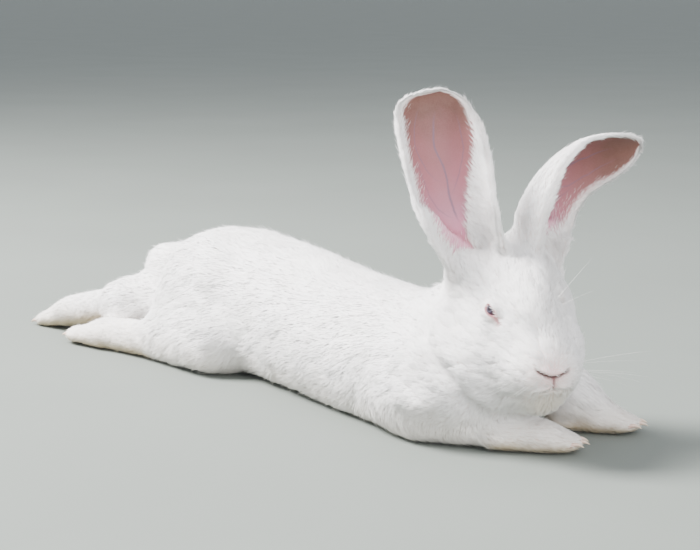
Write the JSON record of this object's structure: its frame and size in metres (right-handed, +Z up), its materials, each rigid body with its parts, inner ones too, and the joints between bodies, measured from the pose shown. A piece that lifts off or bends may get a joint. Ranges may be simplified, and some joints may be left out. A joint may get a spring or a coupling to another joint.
{
  "type": "rabbit",
  "caption": "Giant white rabbit lying at full stretch, life size: upright cupped ears, chin over the forepaws, hind legs kicked out behind.",
  "frame": {"origin": "on the floor, under the middle of the animal's bounding box", "axes": "+X along the trunk toward the head, +Y toward the animal's left, +Z up"},
  "size_m": [0.8114, 0.304, 0.3065],
  "materials": {
    "coat": "dense soft white fur over pale pink skin, matt",
    "eye": "wet and glossy, pale blue-grey iris with a reddish dark pupil",
    "claw": "smooth pale horn, satin"
  },
  "bodies": {
    "root": {"head": "coat", "neck": "coat", "trunk": "coat", "tail": "coat", "foreleg_left": "coat", "foreleg_right": "coat", "forepaw_left": "coat", "forepaw_right": "coat", "hindleg_left": "coat", "hindleg_right": "coat", "hindfoot_left": "coat", "hindfoot_right": "coat", "ear_left": "coat", "ear_right": "coat", "eye_left": "eye", "eye_right": "eye", "claw_hind_left_1": "claw", "claw_hind_left_2": "claw", "claw_hind_left_3": "claw", "claw_hind_left_4": "claw", "claw_fore_left_1": "claw", "claw_fore_left_2": "claw", "claw_fore_left_3": "claw", "claw_fore_left_4": "claw", "claw_hind_right_1": "claw", "claw_hind_right_2": "claw", "claw_hind_right_3": "claw", "claw_hind_right_4": "claw", "claw_fore_right_1": "claw", "claw_fore_right_2": "claw", "claw_fore_right_3": "claw", "claw_fore_right_4": "claw"}
  },
  "joints": []
}
